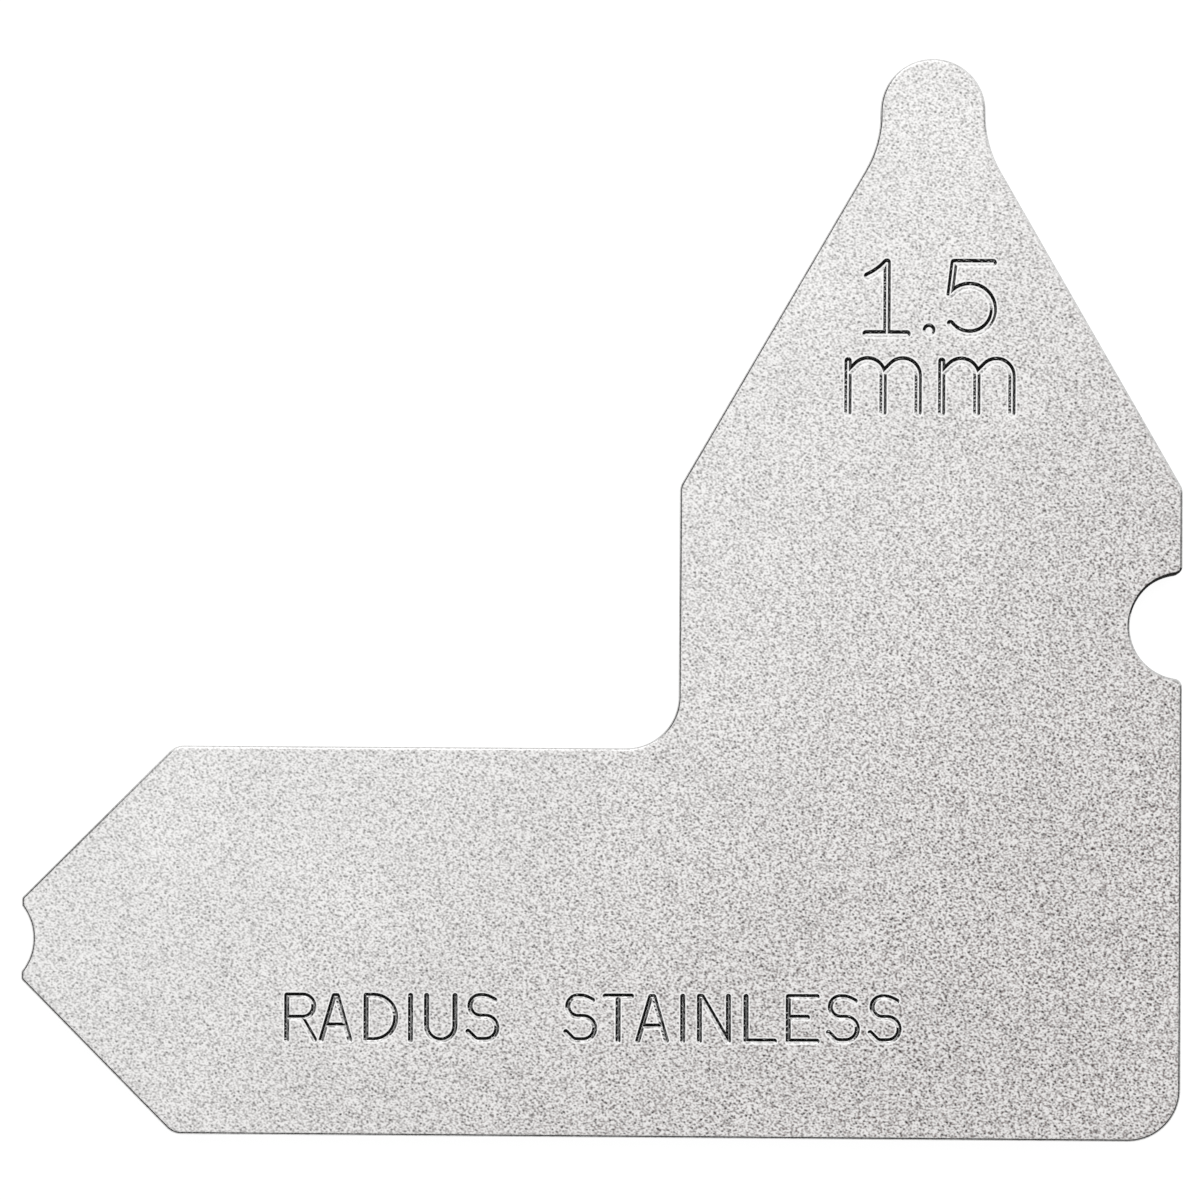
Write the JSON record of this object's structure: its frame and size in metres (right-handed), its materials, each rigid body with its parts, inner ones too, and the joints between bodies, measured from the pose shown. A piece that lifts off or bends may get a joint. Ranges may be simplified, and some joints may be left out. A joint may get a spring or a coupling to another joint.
{
  "type": "radius gauge",
  "caption": "Flat L-shaped steel gauge blade whose edges carry a ball end, a half round notch, a hollow point and rounded inside and outside corners of one radius.",
  "frame": {"origin": "centre of the bounding box in plan, on the back face that the blade lies on", "axes": "+X along the arm towards the stem's straight side, +Y up the stem towards its ball end, +Z out of the marked front face"},
  "size_m": [0.0332, 0.0308, 0.0012],
  "materials": {
    "blasted_steel": "fine blasted satin"
  },
  "bodies": {
    "root": {"gauge_blade": "blasted_steel"}
  },
  "joints": []
}
